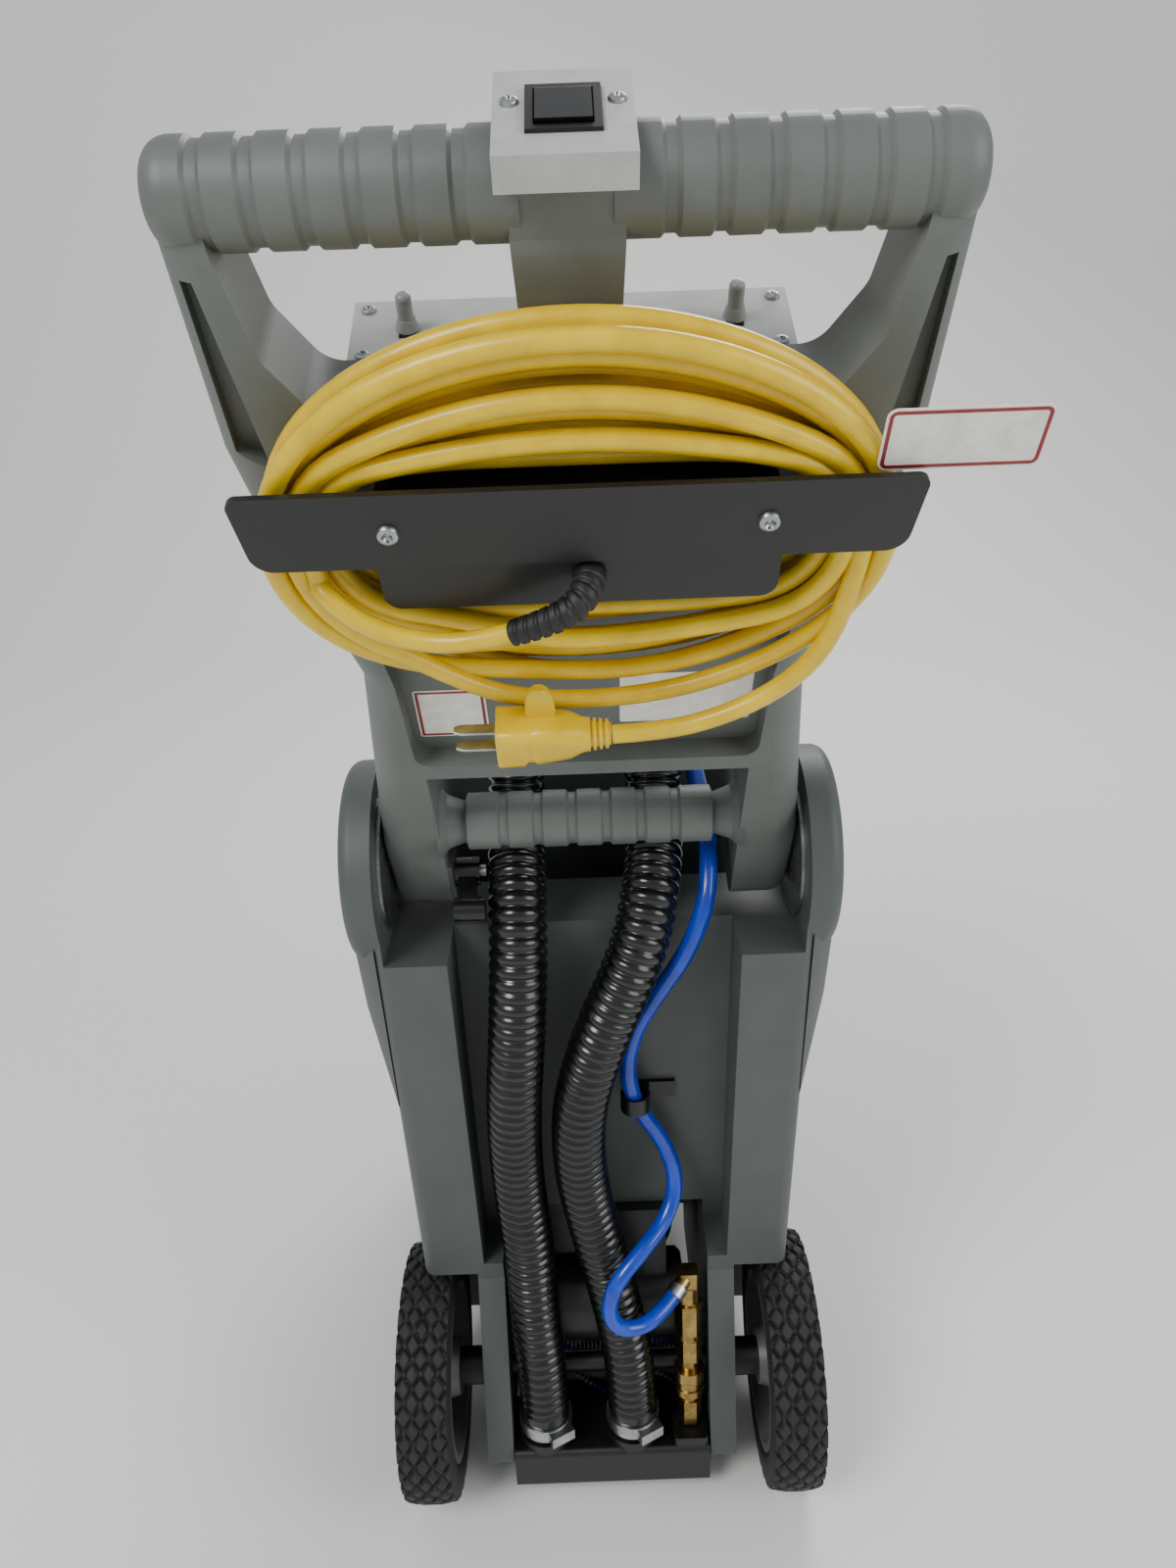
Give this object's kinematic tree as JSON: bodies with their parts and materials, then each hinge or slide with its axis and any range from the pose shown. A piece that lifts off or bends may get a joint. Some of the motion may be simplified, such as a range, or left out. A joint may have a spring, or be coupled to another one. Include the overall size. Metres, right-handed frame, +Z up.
{
  "type": "walk-behind carpet extractor",
  "caption": "Walk-behind carpet extractor with tilting ribbed handle, wrapped power cord, suction hoses, clear recovery dome and brush.",
  "frame": {"origin": "on the floor, under the middle of the machine's box", "axes": "+Z up, +Y towards the nose, away from the operator, +X to the operator's right"},
  "size_m": [0.3584, 0.7012, 1.0139],
  "materials": {
    "handle_moulding": "textured",
    "body_moulding": "textured",
    "clear_dome": "smooth",
    "black_plastic": "satin",
    "black_hose": "gloss",
    "blue_tube": "gloss",
    "stainless": "brushed",
    "zinc_steel": "satin",
    "brass": "machined",
    "grey_enamel": "satin",
    "black_powder_coat": "fine texture",
    "yellow_pvc": "satin",
    "tyre_rubber": "moulded",
    "grey_nylon": "satin",
    "soft_rubber": "satin",
    "white_vinyl": "satin",
    "bristle": "bristle",
    "motor_enamel": "enamelled"
  },
  "bodies": {
    "chassis": {"solution_tank": "body_moulding", "recovery_tank": "body_moulding", "dome": "clear_dome", "dome_gasket": "soft_rubber", "lid_hinge": "black_plastic", "outlet_fitting": "black_plastic", "inlet_elbows": "black_plastic", "standpipe": "black_plastic", "axle": "stainless", "caster_plates": "zinc_steel", "vacuum_shoe": "black_plastic", "vacuum_motor": "motor_enamel", "solution_pump": "black_plastic", "brush_motor": "motor_enamel", "brush_shaft": "stainless", "spray_bar": "stainless", "coupler_body": "brass", "brass_elbow": "brass", "hose_clamps": "stainless", "left_hose": "black_hose", "right_hose": "black_hose", "solution_tube": "blue_tube", "tube_clip": "black_plastic", "drive_belt": "soft_rubber"},
    "handle": {"handle_frame": "handle_moulding", "switch_cover": "grey_enamel", "switch_bezel": "black_plastic", "handle_screws": "zinc_steel", "control_box": "black_plastic", "control_panel": "grey_enamel", "cord_hub": "black_powder_coat", "cord_plate": "black_powder_coat", "power_coil": "yellow_pvc", "lead_cord": "yellow_pvc", "tail_cord": "yellow_pvc", "power_plug": "yellow_pvc", "cord_tag": "white_vinyl", "strain_relief": "soft_rubber", "rating_labels": "white_vinyl", "friction_discs": "stainless", "pivot_bolts": "stainless", "clamp_bracket": "zinc_steel"},
    "left_road_wheel": {"left_wheel": "grey_nylon", "left_tyre": "tyre_rubber"},
    "right_road_wheel": {"right_wheel": "grey_nylon", "right_tyre": "tyre_rubber"},
    "left_caster": {"left_caster_fork": "zinc_steel"},
    "right_caster": {"right_caster_fork": "zinc_steel"},
    "left_caster_roller": {"left_caster_wheel": "grey_nylon"},
    "right_caster_roller": {"right_caster_wheel": "grey_nylon"},
    "brush": {"roller_brush": "bristle"},
    "drive_pulley": {"motor_pulley": "black_plastic"},
    "lid": {"access_lid": "clear_dome"},
    "float": {"float_ball": "white_vinyl"},
    "cap": {"fill_cap": "black_plastic"},
    "sleeve": {"coupler_sleeve": "brass"},
    "rocker": {"rocker_switch": "black_plastic"},
    "left_toggle_body": {"left_toggle": "soft_rubber"},
    "right_toggle_body": {"right_toggle": "soft_rubber"},
    "lever": {"clamp_lever": "black_plastic"}
  },
  "joints": [
    {"name": "handle_pivot", "type": "hinge", "parent": "chassis", "child": "handle", "pos_m": [0, -0.089, 0.58], "axis": [1, 0, 0], "range_deg": [-29, 35]},
    {"name": "left_wheel_spin", "type": "hinge", "parent": "chassis", "child": "left_road_wheel", "pos_m": [-0.145, -0.1, 0.1], "axis": [1, 0, 0], "continuous": true},
    {"name": "right_wheel_spin", "type": "hinge", "parent": "chassis", "child": "right_road_wheel", "pos_m": [0.145, -0.1, 0.1], "axis": [1, 0, 0], "continuous": true},
    {"name": "left_caster_swivel", "type": "hinge", "parent": "chassis", "child": "left_caster", "pos_m": [-0.105, 0.25, 0.08], "axis": [0, 0, 1], "continuous": true},
    {"name": "right_caster_swivel", "type": "hinge", "parent": "chassis", "child": "right_caster", "pos_m": [0.105, 0.25, 0.08], "axis": [0, 0, 1], "continuous": true},
    {"name": "left_caster_spin", "type": "hinge", "parent": "left_caster", "child": "left_caster_roller", "pos_m": [-0.105, 0.222, 0.0375], "axis": [1, 0, 0], "continuous": true},
    {"name": "right_caster_spin", "type": "hinge", "parent": "right_caster", "child": "right_caster_roller", "pos_m": [0.105, 0.222, 0.0375], "axis": [1, 0, 0], "continuous": true},
    {"name": "brush_spin", "type": "hinge", "parent": "chassis", "child": "brush", "pos_m": [0, -0.06, 0.037], "axis": [1, 0, 0], "continuous": true},
    {"name": "pulley_spin", "type": "hinge", "parent": "chassis", "child": "drive_pulley", "pos_m": [-0.065, -0.066, 0.14], "axis": [1, 0, 0], "continuous": true},
    {"name": "lid_hinge_turn", "type": "hinge", "parent": "chassis", "child": "lid", "pos_m": [0, 0.189, 0.733], "axis": [-1, 0, 0], "range_deg": [0, 100]},
    {"name": "float_rise", "type": "slide", "parent": "chassis", "child": "float", "axis": [0, 0, 1], "range_m": [0, 0.02]},
    {"name": "cap_turn", "type": "hinge", "parent": "chassis", "child": "cap", "pos_m": [0, 0.268, 0.476], "axis": [0, 0, 1], "range_deg": [0, 90]},
    {"name": "sleeve_slide", "type": "slide", "parent": "chassis", "child": "sleeve", "axis": [0, 0.1392, 0.9903], "range_m": [0, 0.006], "stiffness_N_per_m": 900},
    {"name": "switch_rock", "type": "hinge", "parent": "handle", "child": "rocker", "pos_m": [0, -0.3225, 0.9971], "axis": [1, 0, 0], "range_deg": [-8, 8]},
    {"name": "left_toggle_throw", "type": "hinge", "parent": "handle", "child": "left_toggle_body", "pos_m": [-0.074, -0.2222, 0.9235], "axis": [1, 0, 0], "range_deg": [-12, 12]},
    {"name": "right_toggle_throw", "type": "hinge", "parent": "handle", "child": "right_toggle_body", "pos_m": [0.074, -0.2222, 0.9235], "axis": [1, 0, 0], "range_deg": [-12, 12]},
    {"name": "lever_lift", "type": "hinge", "parent": "handle", "child": "lever", "pos_m": [-0.085, -0.0931, 0.5709], "axis": [1, 0, 0], "range_deg": [0, 50]}
  ],
  "couplings": [
    {"joint": "pulley_spin", "follows": "brush_spin", "ratio": 1.3333}
  ]
}
